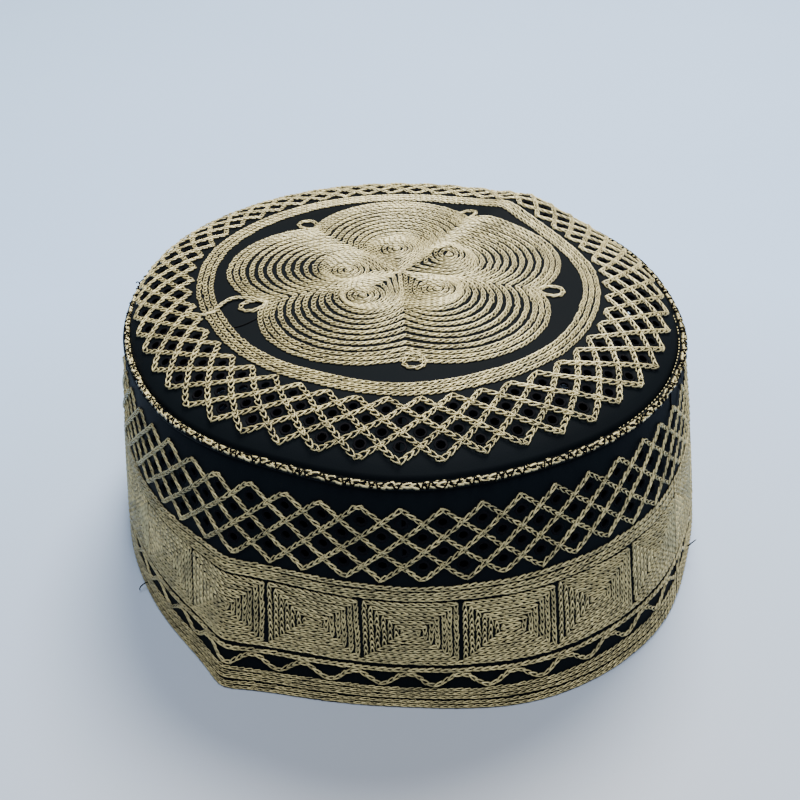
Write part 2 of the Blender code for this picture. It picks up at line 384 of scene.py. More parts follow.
crown_radius = seam_girth.whole / math.tau
crown_width = math.tau * crown_radius * (CROWN_LATTICE_OUT + CROWN_LATTICE_IN) / 2
edge_share = 1.0 - (PIPING_RADIUS + GAP) / crown_radius
crown_lattice_levels = np.linspace(CROWN_LATTICE_IN, CROWN_LATTICE_OUT, LATTICE_LEVELS + 1)
crown_shares = np.array([*SHARES_IN_LATTICE, *crown_lattice_levels, SHARE_OUT_OF_LATTICE, edge_share])
chart = cloth_chart(2 * CROWN_CELLS, crown_shares * crown_radius, crown_width)
crown_eyelets = lattice_centres(
    CROWN_CELLS, crown_width, CROWN_LATTICE_OUT * crown_radius, CROWN_LATTICE_IN * crown_radius)
pierce(chart, crown_eyelets, EYELET_RADIUS)
bmesh.ops.subdivide_edges(chart, edges=chart.edges, cuts=1, use_grid_fill=True)
edge_level = edge_share * crown_radius - MERGE_DISTANCE
edge_ring = [edge for edge in chart.edges if all(v.co.y > edge_level for v in edge.verts)]
skirt = bmesh.ops.extrude_edge_only(chart, edges=edge_ring)
skirt_corners = {v for v in skirt["geom"] if isinstance(v, bmesh.types.BMVert)}
on_skirt = np.array([v in skirt_corners for v in chart.verts])


def crown_with_skirt(x, y):
    points = crown(*chart_place(x, y))
    points[:, 2] = np.where(on_skirt, SKIRT_FOOT, points[:, 2])
    return points


crown_top = new_piece("crown_cloth", wrap_cloth(chart, crown_with_skirt, "crown_cloth"),
                      black_satin, "cloth", "crown_top")
give_thickness(crown_top)

# Eyelet edges
# Every eyelet is bound round with fine black thread, sewn over the cut edge of the cloth, which
# stands up as a small broad ring.
BINDING_WIDTH, BINDING_HEIGHT = 0.42, 0.24
BINDING_OUT, BINDING_DOWN = 0.8, 0.3
# Share of a copy's thread tone that is its own at random; the rest is painted shade by height.
TONE_SPREAD = 0.35
FRAME_STEP = 0.1


def corners_and_faces(bm):
    co = np.array([v.co[:] for v in bm.verts])
    faces = np.array([[v.index for v in face.verts] for face in bm.faces])
    bm.free()
    return co, faces


def ring_template(sides, steps):
    """Ring of thread with a section of unit radius: how far round the ring each corner is, how far
    aside and up it is in the section, and the faces."""
    bm = bmesh.new()
    middle = 2.0
    upright = Matrix.Translation((middle, 0.0, 0.0)) @ Matrix.Rotation(math.pi / 2, 4, "X")
    bmesh.ops.create_circle(bm, segments=sides, radius=1.0, matrix=upright)
    bmesh.ops.spin(bm, geom=bm.verts[:] + bm.edges[:], axis=(0, 0, 1), cent=(0, 0, 0),
                   angle=math.tau, steps=steps, use_merge=True, use_duplicate=False)
    bmesh.ops.recalc_face_normals(bm, faces=bm.faces)
    co, faces = corners_and_faces(bm)
    turn = np.arctan2(co[:, 1], co[:, 0])
    return turn, np.hypot(co[:, 0], co[:, 1]) - middle, co[:, 2], faces


def tile_mesh(name, places, frames, template, faces, tones):
    """One mesh of many copies of a small shape, each turned into its own frame. The tone that the
    thread takes its colour from is partly the copy's own, at random, and partly painted shade,
    darker towards the copy's foot."""
    count, corners = len(places), len(template) if template.ndim == 2 else template.shape[1]
    shapes = np.broadcast_to(template, (count, corners, 3))
    co = places[:, None, :] + np.einsum("nki,nij->nkj", shapes, frames)
    offsets = np.arange(count)[:, None, None] * corners
    mesh = bpy.data.meshes.new(name)
    corners_of_faces = (faces[None] + offsets).reshape(-1, faces.shape[1])
    mesh.from_pydata((co.reshape(-1, 3) * MM).tolist(), [], corners_of_faces.tolist())
    tone_and_shade = mesh.attributes.new("tone_and_shade", "FLOAT", "POINT")
    # painted shade: the lower a corner lies in its copy, the darker its thread, as if shaded where links
    # sink under one another
    up = shapes[..., 2]
    height = (up - up.min()) / (up.max() - up.min())
    tone_and_shade.data.foreach_set("value", (TONE_SPREAD * tones[:, None] + (1 - TONE_SPREAD) * height).ravel())
    return mesh


def thread_fibre_group():
    """Twist and fuzz of a spun thread, with slow changes of shade along the work."""
    group, start, end, nodes, join = node_group(
        "thread_fibre", {"Fibres": 2500.0, "Shade": 60.0}, ["Height", "Mottle"])
    place = nodes.new("ShaderNodeTexCoord")
    fibres = nodes.new("ShaderNodeTexNoise")
    fibres.inputs["Detail"].default_value = 3.0
    fibres.inputs["Distortion"].default_value = 1.5
    mottle = nodes.new("ShaderNodeTexNoise")
    mottle.inputs["Detail"].default_value = 3.0
    join(place.outputs["Object"], fibres.inputs["Vector"])
    join(place.outputs["Object"], mottle.inputs["Vector"])
    join(start.outputs["Fibres"], fibres.inputs["Scale"])
    join(start.outputs["Shade"], mottle.inputs["Scale"])
    join(fibres.outputs["Fac"], end.inputs["Height"])
    join(mottle.outputs["Fac"], end.inputs["Mottle"])
    return group


fibre_group = thread_fibre_group()


def thread_material(name, dark, light, roughness, gloss, shine):
    """Spun thread, with painted shade that darkens it in its hollows, and a tint of its own in the
    shine.
    """
    material, shader, nodes, join = new_material(name, roughness)
    shader.inputs["Specular IOR Level"].default_value = gloss
    shader.inputs["Specular Tint"].default_value = (*shine, 1.0)
    fibre = nodes.new("ShaderNodeGroup")
    fibre.node_tree = fibre_group
    tone_and_shade = nodes.new("ShaderNodeAttribute")
    tone_and_shade.attribute_name = "tone_and_shade"
    blend = nodes.new("ShaderNodeMath")
    blend.operation = "MULTIPLY_ADD"
    blend.inputs[1].default_value = 0.4
    spread = nodes.new("ShaderNodeMapRange")
    spread.inputs["From Min"].default_value = 0.3
    spread.inputs["From Max"].default_value = 1.1
    bump = nodes.new("ShaderNodeBump")
    bump.inputs["Strength"].default_value = 0.6
    bump.inputs["Distance"].default_value = 0.0001
    join(fibre.outputs["Mottle"], blend.inputs[0])
    join(tone_and_shade.outputs["Fac"], blend.inputs[2])
    join(blend.outputs["Value"], spread.inputs["Value"])
    # painted shade: the dark colour goes where the attribute read above is low, in the thread's hollows;
    # the mottle and each copy's own tone vary it at random
    join(colour_mix(nodes, join, spread.outputs["Result"], dark, light), shader.inputs["Base Color"])
    join(fibre.outputs["Height"], bump.inputs["Height"])
    join(bump.outputs["Normal"], shader.inputs["Normal"])
    return material


def surface_frames(surface, u, v):
    """Frames with X along the surface's first way round, Z outward, as rows of matrices."""
    points, normal = lifted(surface, u, v)
    along = surface(u + FRAME_STEP, v) - surface(u - FRAME_STEP, v)
    along -= normal * (along * normal).sum(-1, keepdims=True)
    along /= np.linalg.norm(along, axis=-1, keepdims=True)
    return points, np.stack([along, np.cross(normal, along), normal], 1)


def bind_eyelets(name, surface, u, v):
    turn, side, up, faces = ring_template(4, 8)
    radius = EYELET_RADIUS + BINDING_WIDTH * (BINDING_OUT + side)
    ring = np.stack([radius * np.cos(turn), radius * np.sin(turn),
                     BINDING_HEIGHT * (up - BINDING_DOWN)], -1)
    places, frames = surface_frames(surface, u, v)
    mesh = tile_mesh(name, places, frames, ring, faces, dice.random(len(places)))
    sewn_on[surface.__name__].append(new_piece(name, mesh, black_thread, "cloth"))


dice = np.random.default_rng(11)
sewn_on = {"band": [], "crown": [], "cord_face": []}
# dark is painted shade in the thread's hollows, light is the thread's own colour on its crests
black_thread = thread_material(
    "black_thread", dark=(0.0004, 0.0005, 0.001), light=(0.003, 0.0032, 0.005),
    roughness=0.8, gloss=0.05, shine=(1.0, 1.0, 1.0))
eyelet_x, eyelet_y = np.array(band_eyelets).T
bind_eyelets("side_eyelet_edges", band, chart_turn(eyelet_x), eyelet_y)
bind_eyelets("crown_eyelet_edges", crown, *chart_place(*np.array(crown_eyelets).T))

# Side lattice
# Cream chain stitch laid in crossing zigzags round the upper half of the band. Each link is a loop
# of spun thread, caught down by the next, so a dark almond of cloth shows in its middle.
STRAND = 0.24
LINK_PITCH = 2.15
LINK_HALF_WIDTH = 0.47
LINK_STEPS = 8
LINK_REACH = 0.72
LINK_TAPER = 0.8
LINK_DIP = 0.21
LINK_FOOT = 0.14
LINK_ROLL, LINK_YAW, LINK_STRETCH, LINK_SWELL, LINK_SLIP = 0.06, 0.05, 0.03, 0.06, 0.05
ZIGZAG_STEPS = 30
CROSSING_LIFT = 0.3
LATTICE_WANDER = 0.06


def link_template(half_width, strand, dip):
    """One loop of chain stitch, a unit of pitch long, with its strand round in section. Its narrow
    root stands up over the loop before, and its wide end sinks into the cloth."""
    turn, side, up, faces = ring_template(3, LINK_STEPS)
    x = 0.5 + LINK_REACH * np.cos(turn)
    y = half_width * np.sin(turn) * (1.0 + LINK_TAPER * np.cos(turn))
    out_x, out_y = half_width * np.cos(turn), LINK_REACH * LINK_PITCH * np.sin(turn)
    size = np.hypot(out_x, out_y)
    z = LINK_FOOT + strand * up + dip * (1.0 - np.cos(turn))
    return x, y, z, side * strand * out_x / size, side * strand * out_y / size, faces


def chain_rows(name, surface, rows, nodes=(), slot="thread", half_width=LINK_HALF_WIDTH,
               strand=STRAND, pitch=LINK_PITCH, loose=1.0, dip=LINK_DIP):
    """Lay cream chain stitch along rows, each given as places on a surface and a lift off it."""
    x, y, z, side_x, side_y, faces = link_template(half_width, strand, dip)
    shapes, places, frames = [], [], []
    for u, v, lift in rows:
        line, normal = lifted(surface, u, v, lift)
        lengths = np.concatenate([[0.0], np.cumsum(np.linalg.norm(np.diff(line, axis=0), axis=1))])
        count = max(1, round(lengths[-1] / pitch))
        stops = np.linspace(0.0, lengths[-1], count + 1)
        knots = np.stack([np.interp(stops, lengths, line[:, k]) for k in range(3)], -1)
        up = np.stack([np.interp(stops[:-1], lengths, normal[:, k]) for k in range(3)], -1)
        along = np.diff(knots, axis=0)
        size = np.linalg.norm(along, axis=1, keepdims=True)
        up += np.cross(along / size, up) * dice.normal(0.0, LINK_ROLL * loose, (count, 1))
        aside = np.cross(up, along / size)
        along = along / size + aside * dice.normal(0.0, LINK_YAW * loose, (count, 1))
        along /= np.linalg.norm(along, axis=1, keepdims=True)
        aside = np.cross(up, along)
        aside /= np.linalg.norm(aside, axis=1, keepdims=True)
        up = np.cross(along, aside)
        stretch = size * dice.normal(1.0, LINK_STRETCH * loose, (count, 1))
        width = dice.normal(1.0, LINK_SWELL * loose, (count, 1))
        shapes.append(np.stack([x * stretch + side_x, y * width + side_y, z + 0.0 * width], -1))
        places.append(knots[:-1] + aside * dice.normal(0.0, LINK_SLIP * loose, (count, 1)))
        frames.append(np.stack([along, aside, up], 1))
    tones = dice.random(sum(len(place) for place in places))
    mesh = tile_mesh(name, np.concatenate(places), np.concatenate(frames),
                     np.concatenate(shapes), faces, tones)
    sewn_on[surface.__name__].append(new_piece(name, mesh, cream_thread, slot, *nodes))


def zigzag(cells, rounds, wander):
    """Places of a zigzag's corners in half steps round and in shares from top to foot, with
    each corner a little off its mark, and the row's path between them."""
    corners = np.arange(0, 2 * cells * rounds + 1, LATTICE_LEVELS)
    shares = np.arange(len(corners)) % 2.0
    slips = dice.normal(0.0, wander, (2, len(corners)))
    slips[:, -1] = slips[:, 0]
    fine = np.linspace(0, len(corners) - 1, ZIGZAG_STEPS * (len(corners) - 1) + 1)
    around, down = (np.interp(fine, np.arange(len(corners)), marks)
                    for marks in (corners + slips[0], shares + slips[1] / LATTICE_LEVELS))
    lift = np.where(np.gradient(down) > 0.0, 0.0, CROSSING_LIFT)
    return around, down, lift


# dark is painted shade in the thread's hollows, light is the thread's own colour on its crests
cream_thread = thread_material(
    "cream_thread", dark=(0.027, 0.028, 0.024), light=(0.72, 0.63, 0.32),
    roughness=0.26, gloss=1.0, shine=(1.0, 0.95, 0.62))
half_step = 360.0 / LATTICE_CELLS / 2
side_lattice_rows = []
for strand_number in range(LATTICE_LEVELS):
    around, down, lift = zigzag(LATTICE_CELLS, 1, LATTICE_WANDER)
    side_lattice_rows.append((LATTICE_START + (around + 2 * strand_number) * half_step,
                              LATTICE_TOP + (LATTICE_FOOT - LATTICE_TOP) * down, lift))
chain_rows("side_lattice", band, side_lattice_rows)

# Rows over the squares
# One row of cream chain just under the lattice, and a pair of them below it. They are sewn through
# the band all the way round, and start and end at its seam.
ROW_HEIGHTS = (41.0, 39.2, 37.7)
ROW_STEPS = 720
ROW_WANDER = 0.12
SEAM_TURN = SQUARE_START + 3 * 360.0 / SQUARES
SEAM_SPACE = 0.2


def row_round(height, wander=ROW_WANDER):
    """One level row round the band, that wanders up and down a little as it was guided by hand."""
    turns = np.linspace(SEAM_TURN + SEAM_SPACE, SEAM_TURN + 360.0 - SEAM_SPACE, ROW_STEPS + 1)
    waves = sum(np.cos(np.radians(turns) * rate + dice.uniform(0, math.tau)) for rate in (5, 11, 23))
    return turns, height + wander * waves / 2, 0.0


chain_rows("chain_rows_over_squares", band, [row_round(height) for height in ROW_HEIGHTS],
           ["upper_rows"], half_width=0.47, strand=0.26)

# Squares
# Twenty-two squares filled with rounds of the same cream chain, sewn through the band. Each is
# worked from its edge in to the middle.
SQUARE_LOW, SQUARE_HIGH = 16.9, 36.4
SQUARE_SPACE = 1.0
SQUARE_ROUNDS = 7
SQUARE_INSET = 0.65
ROUND_SPACES = np.array([1.62, 1.42])
SIDE_STEPS = 12
CORNER_SLIP = 0.08


def square_sides(middle_turn, number):
    """One round of a square as four straight sides, so that the chain turns sharply at a corner."""
    size = np.array([band_girth.whole / SQUARES - SQUARE_SPACE, SQUARE_HIGH - SQUARE_LOW]) / 2
    corners = np.array([(-1, -1), (1, -1), (1, 1), (-1, 1), (-1, -1)])
    corners = corners * (size - SQUARE_INSET - number * ROUND_SPACES)
    corners = corners + dice.normal(0.0, CORNER_SLIP, corners.shape)
    middle_height = (SQUARE_LOW + SQUARE_HIGH) / 2
    sides = []
    for start, end in zip(corners, corners[1:]):
        x, y = np.linspace(start, end, SIDE_STEPS).T
        sides.append((middle_turn + x / band_girth.whole * 360.0, middle_height + y, 0.0))
    return sides


for number in range(SQUARES):
    middle = SQUARE_START + (number + 0.5) * 360.0 / SQUARES
    rounds = [side for k in range(SQUARE_ROUNDS) for side in square_sides(middle, k)]
    chain_rows(f"chain_square_{number + 1:02d}", band, rounds, [f"square_{number + 1:02d}"],
               half_width=0.46, strand=0.25, pitch=2.0)

# Rows under the squares
# A row of cream chain against the squares' feet, a second under a fine dark line of cloth, and a
# waved row whose crests touch the second one.
LOWER_ROW_HEIGHTS = (16.25, 13.6)
WAVES = 41
WAVE_MIDDLE, WAVE_HEIGHT = 10.6, 2.1
WAVE_CREST = 12.3
WAVE_WANDER = 0.2
WAVE_LIFT = 0.1
chain_rows("chain_rows_under_squares", band, [row_round(height) for height in LOWER_ROW_HEIGHTS],
           ["lower_rows"], half_width=0.47, strand=0.26)
wave_turns, wave_line, _ = row_round(WAVE_MIDDLE, WAVE_WANDER)
wave_line = wave_line + WAVE_HEIGHT * np.cos(np.radians(WAVES * wave_turns))
chain_rows("wave_row", band, [(wave_turns, np.minimum(wave_line, WAVE_CREST), WAVE_LIFT)])

# Rows along the rim
# Five rows of cream chain cover the rim and are sewn through it, with a fine dark line of cloth
# between the second and the third.
RIM_ROW_HEIGHTS = (0.95, 2.35, 4.1, 5.5, 6.9)
RIM_WANDER = 0.08
chain_rows("chain_rows_at_rim", band, [row_round(height, RIM_WANDER) for height in RIM_ROW_HEIGHTS],
           ["rim_rows"], half_width=0.36, strand=0.17)

# Crown lattice
# The same crossing zigzags round the edge of the crown, leaning slightly. The crown's chains were
# all worked the other way round.
CROWN_LATTICE_WANDER = 0.05
half_step = 360.0 / CROWN_CELLS / 2
around, down, lift = (marks[::-1] for marks in zigzag(CROWN_CELLS, LATTICE_LEVELS, CROWN_LATTICE_WANDER))
shares = CROWN_LATTICE_OUT + (CROWN_LATTICE_IN - CROWN_LATTICE_OUT) * down
turns = lattice_turn(CROWN_START + around * half_step, shares)
chain_rows("crown_lattice", crown, [(*crown_place(turns, shares), lift)], half_width=0.64, strand=0.26)

# Ring round the rosette
# Three rows of cream chain side by side, sewn through the crown, which follow the outline of its
# edge.
RING_SHARES = (0.658, 0.680, 0.702)
ring_turns = np.linspace(360.0, 0.0, ROW_STEPS + 1)
chain_rows("chain_ring", crown, [(*crown_place(ring_turns, share), 0.0) for share in RING_SHARES],
           ["rosette_ring"], half_width=0.55, strand=0.25, pitch=1.9)

# Rosette
# Five petals of cream chain, sewn through the crown. Each has an eye of closed circles that widen
# into wedges, and the outer rounds run on from petal to petal and meet in small arrowheads
# between them.
PETALS = 5
PETAL_TURN = 182.0
PETAL_HALF = 180.0 / PETALS
OUTER_MIDDLE, INNER_MIDDLE = np.array([0.5, 1.4]), np.array([1.0, 3.8])
TIP_REACHES = np.append([52.4, 50.4, 48.4], np.linspace(45.7, 26.6, 8))
NOTCH_REACHES = np.append([42.3, 40.3, 38.3], np.linspace(36.0, 15.4, 8))
TIP_SLIPS = np.array([1.0, 0.2, -0.8, 1.0, -1.8])
NOTCH_SLIPS = np.array([1.3, -1.2, 5.0, 0.0, -0.2])
PETAL_LEANS = np.array([0.0, 0.0, 4.0, -4.0, 0.0])
EYES = [(0.5, 19.4), (-14.6, 6.0), (-9.8, -10.2), (12.2, -7.6), (16.4, 13.6)]
EYE_ROUNDS, WEDGE_ROUNDS = 4, 4
EYE_FIRST, EYE_SPACE = 0.9, 1.65
WEDGE_TIP_SPACE, WEDGE_NOTCH_SPACE = 1.9, 1.2


def petal_edge(tip, notch, aside):
    """Reach of a round petal at an angle aside from its middle, with its tip and its notch."""
    half = math.radians(PETAL_HALF)
    middle = (tip ** 2 - notch ** 2) / (2 * (tip - notch * math.cos(half)))
    lean = np.radians(aside)
    return middle * np.cos(lean) + np.sqrt((tip - middle) ** 2 - (middle * np.sin(lean)) ** 2)


def petal_arc(petal, tip, notch):
    """One petal's part of a round. Each petal's tip and notches slip a little from the even shape."""
    share = (tip - TIP_REACHES[-1]) / (TIP_REACHES[0] - TIP_REACHES[-1])
    aside = np.linspace(PETAL_HALF, -PETAL_HALF, 61)
    near, far = notch + share * NOTCH_SLIPS[petal - 1], notch + share * NOTCH_SLIPS[petal]
    reach = petal_edge(tip + share * TIP_SLIPS[petal], np.where(aside < 0.0, near, far), aside)
    lean = PETAL_LEANS[petal] * np.cos(np.radians(aside * 90.0 / PETAL_HALF)) ** 2
    x, y = plan_place(reach, PETAL_TURN + petal * 2 * PETAL_HALF + aside + lean)
    middle = INNER_MIDDLE + (OUTER_MIDDLE - INNER_MIDDLE) * share
    return x + middle[0], y + middle[1]


def eye_round(petal, number):
    """One closed round of a petal's eye. The first ones are circles, and the last ones widen into a
    wedge with its point at the rosette's middle."""
    arc = petal_arc(petal, TIP_REACHES[-1] - WEDGE_TIP_SPACE, NOTCH_REACHES[-1] - WEDGE_NOTCH_SPACE)
    rise = np.linspace(0.0, 1.0, 10)[:-1]
    wedge = []
    for line, middle, eye in zip(arc, INNER_MIDDLE, EYES[petal]):
        out = middle + (line[0] - middle) * rise
        back = middle + (line[-1] - middle) * rise[::-1]
        wedge.append(np.concatenate([out, line, back]) - eye)
    x, y = wedge
    away = np.hypot(x, y)
    reach = EYE_FIRST + EYE_SPACE * min(number, EYE_ROUNDS - 1)
    part = max(0, number - EYE_ROUNDS + 1) / WEDGE_ROUNDS
    share = (reach + (away - reach) * part) / away
    return EYES[petal][0] + share * x, EYES[petal][1] + share * y


rosette_rows = [(*petal_arc(petal, tip, notch), 0.0) for petal in range(PETALS)
                for tip, notch in zip(TIP_REACHES, NOTCH_REACHES)]
chain_rows("chain_rosette", crown, rosette_rows, ["rosette"], half_width=0.57, strand=0.25, pitch=1.9)
eye_rows = [(*eye_round(petal, k), 0.0) for petal in range(PETALS)
            for k in range(EYE_ROUNDS + WEDGE_ROUNDS)]
chain_rows("petal_eyes", crown, eye_rows, half_width=0.45, strand=0.22, pitch=1.8)

# Loops between the petals
# A small loop of one cream chain row stands in each notch between the petals, sewn through the
# crown like them.
LOOP_TURNS = (-142.5, -69.5, 4.2, 74.5, 149.0)
LOOP_REACHES = (50.7, 48.8, 52.3, 49.8, 48.6)
LOOP_LENGTH = 8.2
LOOP_HALF_WIDTH, LOOP_TAPER = 2.7, 0.4
LOOP_LIFT = 0.1


def notch_loop(angle, reach):
    turn = np.linspace(0.0, math.tau, 41)
    along = reach - LOOP_LENGTH / 2 * (1.0 + np.cos(turn))
    aside = LOOP_HALF_WIDTH * np.sin(turn) * (1.0 - LOOP_TAPER * np.cos(turn))
    x, y = plan_place(along, angle)
    side_x, side_y = plan_place(aside, angle + 90.0)
    return x + side_x + OUTER_MIDDLE[0], y + side_y + OUTER_MIDDLE[1], LOOP_LIFT


chain_rows("petal_loops", crown, [notch_loop(*place) for place in zip(LOOP_TURNS, LOOP_REACHES)])

# Stray run
# One length of cream chain was carried from the lattice over the ring to the petals without a
# cut. It lies on top of the rows that it crosses.
STRAY_PLACES = [(-60.2, -16.9), (-56.8, -18.8), (-52.9, -17.8), (-50.6, -12.8),
                (-47.4, -9.9), (-43.0, -10.6), (-39.0, -12.4)]
STRAY_LIFT = 0.45


def smooth_line(places, steps):
    """Rounded line through a few places."""
    places = np.array(places)
    ends = np.concatenate([[2 * places[0] - places[1]], places, [2 * places[-1] - places[-2]]])
    marks = np.linspace(0.0, len(places) - 1.001, steps)
    return [round_curve(ends[:, k], marks + 1.0) for k in range(ends.shape[1])]


chain_rows("stray_run", crown, [(*smooth_line(STRAY_PLACES, 60), STRAY_LIFT)], loose=1.5)

# Piping
# A black satin roll sewn into the seam between the crown and the band. A cream chain lies along it,
# rolled over towards the crown at the left, and black thread zigzags across the chain. Fine cream
# stitches lie on the roll's crown side.
CORD_SINK = -0.25
CORD_LEAN, CORD_LEAN_SWING = 58.0, 14.0
CORD_ROLL_TURN, CORD_ROLL_WIDTH, CORD_ROLL = 280.0, 42.0, 58.0
ZIGZAGS = 157
STITCH_RADIUS = 0.3
STITCH_DISTANCE = 1.37
STITCH_REACH = 50.0
STITCH_WANDER = 0.22
STITCH_STEPS = 16
EDGE_STITCHES = 320
EDGE_STITCH_LEAN = 138.0
EDGE_STITCH_SIZE = (0.55, 0.17, 0.14)
EDGE_STITCH_FROM, EDGE_STITCH_TO = 40.0, 84.0
EDGE_STITCH_CHANCE, EDGE_STITCH_CHANCE_ELSEWHERE = 0.85, 0.1


def around_cord(turn, lean, radius):
    """Places at a lean and a distance from the cord's middle; lean 0 faces outwards and 90 up."""
    angle = seam_girth.angle(turn)
    back, ahead = (plan_place(draped_radius(angle + shift, SEAM_HEIGHT), angle + shift)
                   for shift in (-0.2, 0.2))
    along_x, along_y = ahead[0] - back[0], ahead[1] - back[1]
    size = np.hypot(along_x, along_y)
    x, y = plan_place(draped_radius(angle, SEAM_HEIGHT), angle)
    out = radius * np.cos(np.radians(lean))
    return np.stack([x + out * along_y / size - ORIGIN_X, y - out * along_x / size - ORIGIN_Y,
                     SEAM_HEIGHT + radius * np.sin(np.radians(lean)) + 0.0 * x], -1)


def tube_mesh(name, centres, outward, sides, radii, closed):
    """Round thread along a line of centres, bent out of a flat grid."""
    ahead = np.roll(centres, -1, 0) - np.roll(centres, 1, 0) if closed else np.gradient(centres, axis=0)
    ahead /= np.linalg.norm(ahead, axis=1, keepdims=True)
    level = np.cross(ahead, outward)
    level /= np.linalg.norm(level, axis=1, keepdims=True)
    rise = np.cross(level, ahead)
    steps = len(centres) if closed else len(centres) - 1
    bm = bmesh.new()
    bmesh.ops.create_grid(bm, x_segments=steps, y_segments=sides, size=0.5)
    for corner in bm.verts:
        k = round((corner.co.x + 0.5) * steps) % len(centres)
        lean = (corner.co.y + 0.5) * math.tau
        corner.co = (centres[k] + radii[k] * (level[k] * math.cos(lean) + rise[k] * math.sin(lean))) * MM
    bmesh.ops.remove_doubles(bm, verts=bm.verts, dist=MERGE_DISTANCE * MM)
    bmesh.ops.recalc_face_normals(bm, faces=bm.faces)
    return finished_mesh(bm, name)


def cord_thread(name, turns, lean, distance, sides, radius):
    """Closed round thread at a lean and a distance from the cord's middle."""
    line = around_cord(turns, lean, distance)
    outward = around_cord(turns, lean, 1.0) - around_cord(turns, 0.0, 0.0)
    return tube_mesh(name, line, outward, sides, np.full(len(line), radius), True)


def cord_face(turn, lean):
    return around_cord(turn, lean, PIPING_RADIUS)


def cord_lean(turn):
    """Where the cream chain lies on the roll. At the left it has rolled over towards the crown."""
    rolled = CORD_ROLL * np.exp(-(turn_between(turn, CORD_ROLL_TURN) / CORD_ROLL_WIDTH) ** 2)
    return CORD_LEAN - CORD_LEAN_SWING * np.cos(np.radians(turn)) + rolled


roll_turns = np.linspace(0.0, 360.0, ROW_STEPS, endpoint=False)
roll = cord_thread("piping_roll", roll_turns, 90.0, 0.0, 8, PIPING_RADIUS)
new_piece("piping_roll", roll, black_satin, "cloth")
cord_turns = np.linspace(0.0, 360.0, 2 * ROW_STEPS + 1)
chain_rows("piping_cord", cord_face, [(cord_turns, cord_lean(cord_turns), CORD_SINK)],
           ["edge_piping"], "piping", half_width=0.52, strand=0.42, pitch=2.1, dip=0.05)
stitch_turns = np.linspace(0.0, 360.0, ZIGZAGS * STITCH_STEPS, endpoint=False)
slips = sum(np.cos(np.radians(stitch_turns * rate + dice.uniform(0, 360.0))) for rate in (31, 53, 88))
phase = np.radians(stitch_turns * ZIGZAGS) + STITCH_WANDER * math.tau * slips
swing = np.arcsin(np.sin(phase)) / (math.pi / 2)
stitch_leans = cord_lean(stitch_turns) + STITCH_REACH * swing
stitches = cord_thread("piping_stitches", stitch_turns, stitch_leans, STITCH_DISTANCE, 5, STITCH_RADIUS)
new_piece("piping_stitches", stitches, black_thread, "cloth")
bm = bmesh.new()
bmesh.ops.create_icosphere(bm, subdivisions=1, radius=1.0)
speck, speck_faces = corners_and_faces(bm)
edge_turns = np.arange(EDGE_STITCHES) * 360.0 / EDGE_STITCHES
on_right = (edge_turns > EDGE_STITCH_FROM) & (edge_turns < EDGE_STITCH_TO)
chance = np.where(on_right, EDGE_STITCH_CHANCE, EDGE_STITCH_CHANCE_ELSEWHERE)
edge_turns = edge_turns[dice.random(EDGE_STITCHES) < chance]
places, frames = surface_frames(cord_face, edge_turns, EDGE_STITCH_LEAN)
specks = tile_mesh("edge_stitches", places, frames, speck * EDGE_STITCH_SIZE, speck_faces,
                   dice.random(len(places)))
new_piece("edge_stitches", specks, cream_thread, "thread")

# Loose black threads
# Cut ends of the black sewing thread stand out at the rim and the crown's edge, and one lies on the
# crown beside the petals.
LOOSE_RADIUS = 0.2
LOOSE_FACING = np.array([0.31, 0.17, 0.93])
THREAD_ON_CROWN = [(-46.8, -26.6), (-43.3, -24.9), (-39.4, -21.2)]
THREAD_LIFT = 0.12
LEFT_KNOT, RIGHT_KNOT, EDGE_KNOT = (-59.5, 3.0), (68.5, 5.0), (-81.0, 19.0)
LEFT_END = [(1.0, 0.6, 0.2), (-1.2, -0.8, 0.5), (-2.6, -1.6, -0.4), (-3.0, -1.4, -2.0)]
RIGHT_END = [(-0.8, 0.4, 0.1), (0.8, -0.4, 0.3), (1.8, -0.4, 1.4), (3.2, -0.2, 2.6)]
EDGE_END = [(1.0, 0.4, 0.1), (-0.4, 0.1, 0.6), (-1.6, 0.3, 0.9), (-2.2, 0.8, 0.2)]


def loose_thread(name, knot, places):
    """Black thread through a few places, which are given from its knot."""
    line = np.stack(smooth_line(knot + np.array(places), 24), -1)
    taper = np.sin(np.linspace(0.0, math.pi, len(line))) ** 0.2
    taper[[0, -1]] = 0.0
    mesh = tube_mesh(name, line, LOOSE_FACING, 5, LOOSE_RADIUS * taper, False)
    new_piece(name, mesh, black_thread, "cloth")


flat_x, flat_y = smooth_line(THREAD_ON_CROWN, 8)
loose_thread("loose_thread_crown", np.array([0.0, 0.0, THREAD_LIFT]), crown(flat_x, flat_y))
loose_thread("loose_thread_left", band(*LEFT_KNOT), LEFT_END)
loose_thread("loose_thread_right", band(*RIGHT_KNOT), RIGHT_END)
loose_thread("loose_thread_edge", crown(*EDGE_KNOT), EDGE_END)

# Seam of the band
# The band's two ends are joined by one upright seam at the back right, oversewn with black thread
# that sways a little from side to side.
SEAM_LOW, SEAM_SHORT = 0.3, 1.1
SEAM_STEPS = 90
SEAM_SWAY, SEAM_SWAY_RATE = 0.05, 2.1
SEAM_LIFT = 0.1
SEAM_THREAD_RADIUS = 0.22
seam_up = np.linspace(SEAM_LOW, band_top - SEAM_SHORT, SEAM_STEPS)
seam_turns = SEAM_TURN + SEAM_SWAY * np.sin(seam_up * SEAM_SWAY_RATE)
seam_line, seam_normal = lifted(band, seam_turns, seam_up, SEAM_LIFT)
seam_radii = np.full(SEAM_STEPS, SEAM_THREAD_RADIUS)
new_piece("band_seam", tube_mesh("band_seam", seam_line, seam_normal, 6, seam_radii, False),
          black_thread, "cloth")

